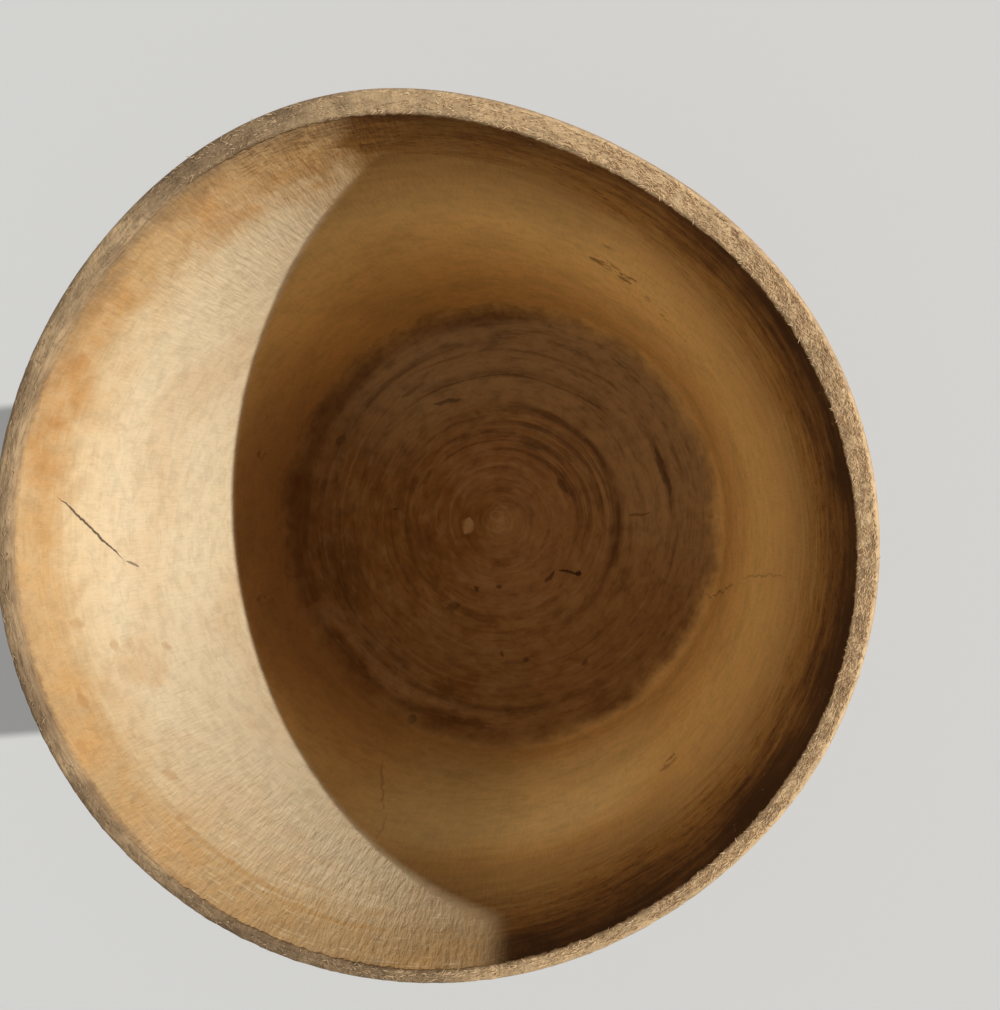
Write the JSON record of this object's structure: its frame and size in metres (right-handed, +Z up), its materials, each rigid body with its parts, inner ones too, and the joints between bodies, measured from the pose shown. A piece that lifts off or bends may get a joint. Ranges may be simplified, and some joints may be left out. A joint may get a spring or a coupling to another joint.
{
  "type": "wooden goblet",
  "caption": "Turned wooden goblet: thin flared cup, a little out of round, on a beaded stem and a round foot with a flat standing ring.",
  "frame": {"origin": "centre of the foot's flat standing ring, on the surface that the goblet stands on", "axes": "+Z up the axis of the stem, out of the mouth; +X towards the right of the lip and +Y towards its top, seen from above as pictured"},
  "size_m": [0.0841, 0.0838, 0.1308],
  "materials": {
    "cup_wood": "turned and lightly sanded, worn, fuzzy end grain at the lip and dark end grain on the floor",
    "stem_wood": "turned and polished with wax, darker in the coves",
    "foot_wood": "turned and polished with wax, rubbed at the edge",
    "wedge_wood": "dark hardwood, cut flush"
  },
  "bodies": {
    "root": {"bowl": "cup_wood", "stem": "stem_wood", "foot": "foot_wood", "foot_wedge": "wedge_wood"}
  },
  "joints": []
}
